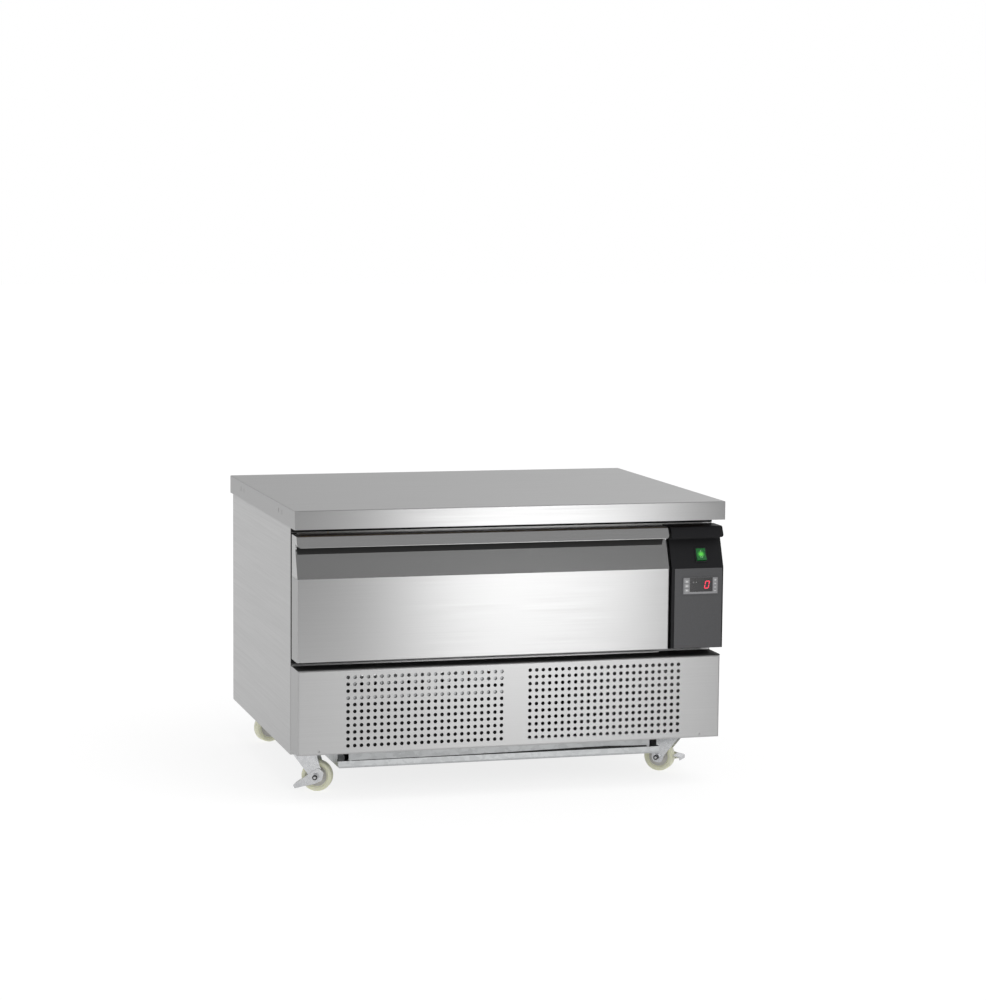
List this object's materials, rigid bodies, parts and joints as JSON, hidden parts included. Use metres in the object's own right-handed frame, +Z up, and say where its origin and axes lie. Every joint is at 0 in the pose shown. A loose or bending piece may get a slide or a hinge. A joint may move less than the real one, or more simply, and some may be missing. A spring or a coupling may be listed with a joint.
{
  "type": "refrigerated counter",
  "caption": "Low refrigerated counter on swivel casters: stainless worktop, wide drawer with a recessed grip, control housing and perforated machine grille.",
  "frame": {"origin": "on the floor under the middle of the worktop", "axes": "+X to the right along the worktop's length, +Y to the back, +Z up; the drawer opens towards -Y"},
  "size_m": [0.9, 0.7, 0.592],
  "materials": {
    "stainless_steel": "satin brushed",
    "zinc_plated_steel": "bright zinc plate",
    "core_board": "raw board",
    "insulating_foam": "foamed",
    "black_plastic": "satin moulded",
    "controller_plastic": "satin moulded",
    "grey_fascia": "satin film",
    "display_glass": "dark tinted",
    "green_lens": "lit translucent",
    "key_plastic": "satin",
    "gasket_rubber": "soft",
    "coil_aluminium": "mill finish",
    "black_paint": "baked enamel",
    "copper": "drawn tube",
    "pan_plastic": "moulded",
    "wheel_nylon": "moulded"
  },
  "bodies": {
    "cabinet": {"worktop": "stainless_steel", "worktop_core": "core_board", "left_side_panel": "stainless_steel", "right_side_panel": "stainless_steel", "back_panel": "zinc_plated_steel", "cabinet_floor_plate": "zinc_plated_steel", "insulation_foam": "insulating_foam", "inner_liner": "stainless_steel", "front_frame": "stainless_steel", "base_rails": "zinc_plated_steel", "machine_tray": "zinc_plated_steel", "front_baffle": "zinc_plated_steel", "grille_panel": "stainless_steel", "grille_screws": "stainless_steel", "control_housing": "black_plastic", "control_fascia": "grey_fascia", "switch_body": "black_plastic", "controller_body": "controller_plastic", "display_window": "display_glass", "cabinet_runners": "zinc_plated_steel", "evaporator_baffle": "stainless_steel", "evaporator_coil": "coil_aluminium", "evaporator_fan_frame": "black_plastic", "compressor": "black_paint", "compressor_mounts": "gasket_rubber", "condenser_coil": "coil_aluminium", "fan_shroud": "zinc_plated_steel", "condenser_fan_motor": "black_paint", "filter_drier": "copper", "refrigerant_pipes": "copper", "condensate_tray": "pan_plastic", "drain_hose": "gasket_rubber", "cable_gland": "black_plastic", "caster_plates": "zinc_plated_steel", "caster_bolts": "zinc_plated_steel"},
    "drawer": {"drawer_front_panel": "stainless_steel", "drawer_handle": "stainless_steel", "handle_end_caps": "stainless_steel", "drawer_front_foam": "insulating_foam", "drawer_inner_panel": "stainless_steel", "drawer_gasket": "gasket_rubber", "drawer_frame": "stainless_steel", "drawer_runners": "zinc_plated_steel"},
    "runner": {"middle_runners": "zinc_plated_steel"},
    "rocker": {"rocker_button": "green_lens"},
    "key_up": {"key_up": "key_plastic"},
    "key_set": {"key_set": "key_plastic"},
    "key_down": {"key_down": "key_plastic"},
    "condenser_fan": {"condenser_fan_blade": "coil_aluminium"},
    "evaporator_fan": {"evaporator_fan_blade": "black_plastic"},
    "fork_fl": {"fork_fl": "zinc_plated_steel"},
    "wheel_fl": {"wheel_fl": "wheel_nylon"},
    "brake_fl": {"brake_fl": "zinc_plated_steel"},
    "fork_fr": {"fork_fr": "zinc_plated_steel"},
    "wheel_fr": {"wheel_fr": "wheel_nylon"},
    "brake_fr": {"brake_fr": "zinc_plated_steel"},
    "fork_rl": {"fork_rl": "zinc_plated_steel"},
    "wheel_rl": {"wheel_rl": "wheel_nylon"},
    "fork_rr": {"fork_rr": "zinc_plated_steel"},
    "wheel_rr": {"wheel_rr": "wheel_nylon"}
  },
  "joints": [
    {"name": "drawer_slide", "type": "slide", "parent": "cabinet", "child": "drawer", "axis": [0, -1, 0], "range_m": [0, 0.54]},
    {"name": "runner_slide", "type": "slide", "parent": "cabinet", "child": "runner", "axis": [0, -1, 0], "range_m": [0, 0.27]},
    {"name": "rocker_tip", "type": "hinge", "parent": "cabinet", "child": "rocker", "pos_m": [0.402, -0.3367, 0.48064], "axis": [1, 0, 0], "range_deg": [0, 18]},
    {"name": "key_up_press", "type": "slide", "parent": "cabinet", "child": "key_up", "axis": [0, 1, 0], "range_m": [0, 0.0006], "stiffness_N_per_m": 1500},
    {"name": "key_set_press", "type": "slide", "parent": "cabinet", "child": "key_set", "axis": [0, 1, 0], "range_m": [0, 0.0006], "stiffness_N_per_m": 1500},
    {"name": "key_down_press", "type": "slide", "parent": "cabinet", "child": "key_down", "axis": [0, 1, 0], "range_m": [0, 0.0006], "stiffness_N_per_m": 1500},
    {"name": "condenser_fan_spin", "type": "hinge", "parent": "cabinet", "child": "condenser_fan", "pos_m": [-0.185, -0.1708, 0.142], "axis": [0, 1, 0], "continuous": true},
    {"name": "evaporator_fan_spin", "type": "hinge", "parent": "cabinet", "child": "evaporator_fan", "pos_m": [0.324, -0.13, 0.375], "axis": [1, 0, 0], "continuous": true},
    {"name": "swivel_fl", "type": "hinge", "parent": "cabinet", "child": "fork_fl", "pos_m": [-0.398, -0.195, 0.082], "axis": [0, 0, 1], "continuous": true},
    {"name": "roll_fl", "type": "hinge", "parent": "fork_fl", "child": "wheel_fl", "pos_m": [-0.37242, -0.20639, 0.0315], "axis": [0.4067, 0.9135, 0], "continuous": true},
    {"name": "brake_tip_fl", "type": "hinge", "parent": "fork_fl", "child": "brake_fl", "pos_m": [-0.37242, -0.20639, 0.0315], "axis": [0.4067, 0.9135, 0], "range_deg": [0, 25]},
    {"name": "swivel_fr", "type": "hinge", "parent": "cabinet", "child": "fork_fr", "pos_m": [0.398, -0.195, 0.082], "axis": [0, 0, 1], "continuous": true},
    {"name": "roll_fr", "type": "hinge", "parent": "fork_fr", "child": "wheel_fr", "pos_m": [0.37594, -0.17776, 0.0315], "axis": [-0.6157, -0.788, 0], "continuous": true},
    {"name": "brake_tip_fr", "type": "hinge", "parent": "fork_fr", "child": "brake_fr", "pos_m": [0.37594, -0.17776, 0.0315], "axis": [-0.6157, -0.788, 0], "range_deg": [-25, 0]},
    {"name": "swivel_rl", "type": "hinge", "parent": "cabinet", "child": "fork_rl", "pos_m": [-0.398, 0.31, 0.082], "axis": [0, 0, 1], "continuous": true},
    {"name": "roll_rl", "type": "hinge", "parent": "fork_rl", "child": "wheel_rl", "pos_m": [-0.37095, 0.31725, 0.0315], "axis": [-0.2588, 0.9659, 0], "continuous": true},
    {"name": "swivel_rr", "type": "hinge", "parent": "cabinet", "child": "fork_rr", "pos_m": [0.398, 0.31, 0.082], "axis": [0, 0, 1], "continuous": true},
    {"name": "roll_rr", "type": "hinge", "parent": "fork_rr", "child": "wheel_rr", "pos_m": [0.37169, 0.31958, 0.0315], "axis": [-0.342, -0.9397, 0], "continuous": true}
  ],
  "couplings": [
    {"joint": "runner_slide", "follows": "drawer_slide", "ratio": 0.5}
  ]
}
